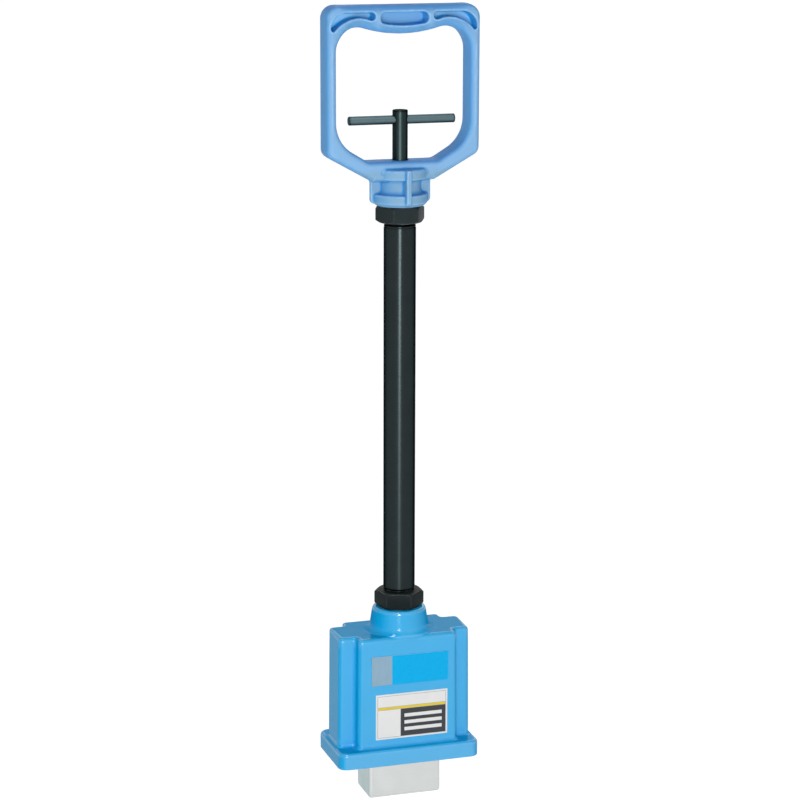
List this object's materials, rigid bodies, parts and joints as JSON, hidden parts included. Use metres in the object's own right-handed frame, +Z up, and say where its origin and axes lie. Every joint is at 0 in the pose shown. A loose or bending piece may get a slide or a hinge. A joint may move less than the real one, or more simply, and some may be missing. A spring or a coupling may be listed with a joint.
{
  "type": "hand lifting magnet",
  "caption": "Hand-held lifting magnet: D-handle on a tube, cast housing and stainless sheath; squeezing the T-bar lifts the magnet block and drops the load.",
  "frame": {"origin": "centre of the sheath's flat bottom face, which holds the load", "axes": "+Z up along the tube to the grip, +X along the grip and the T-bar, -Y the front with the two plates"},
  "size_m": [0.129, 0.067, 0.6637],
  "materials": {
    "stainless": "satin",
    "gasket_rubber": "matte",
    "housing_paint": "gloss",
    "zinc_steel": "satin",
    "black_steel": "satin",
    "bush_bronze": "satin",
    "handle_plastic": "satin",
    "spring_steel": "satin",
    "carrier_brass": "satin",
    "pole_steel": "satin",
    "magnet_material": "satin",
    "plate_aluminium": "satin",
    "label_vinyl": "satin"
  },
  "bodies": {
    "frame": {"sheath": "stainless", "sheath_gasket": "gasket_rubber", "housing": "housing_paint", "bottom_plate": "zinc_steel", "bottom_plate_screws": "zinc_steel", "outer_tube": "black_steel", "lower_lock_nut": "black_steel", "upper_lock_nut": "black_steel", "upper_guide_bush": "bush_bronze", "lower_guide_bush": "bush_bronze", "handle": "handle_plastic", "return_spring": "spring_steel", "name_plate": "plate_aluminium", "front_label": "label_vinyl"},
    "lifter": {"pull_rod": "black_steel", "t_bar": "black_steel", "t_bar_set_screw": "black_steel", "spring_seat": "zinc_steel", "retaining_ring": "spring_steel", "rod_jam_nut": "zinc_steel", "lock_washer": "zinc_steel", "magnet_carrier": "carrier_brass", "carrier_screws": "black_steel", "pole_plate_left": "pole_steel", "pole_plate_centre": "pole_steel", "pole_plate_right": "pole_steel", "magnet_left": "magnet_material", "magnet_right": "magnet_material"}
  },
  "joints": [
    {"name": "pull_rod_slide", "type": "slide", "parent": "frame", "child": "lifter", "axis": [0, 0, 1], "range_m": [0, 0.055], "stiffness_N_per_m": 470, "springref_m": -0.015, "deforming": ["return_spring"]}
  ]
}
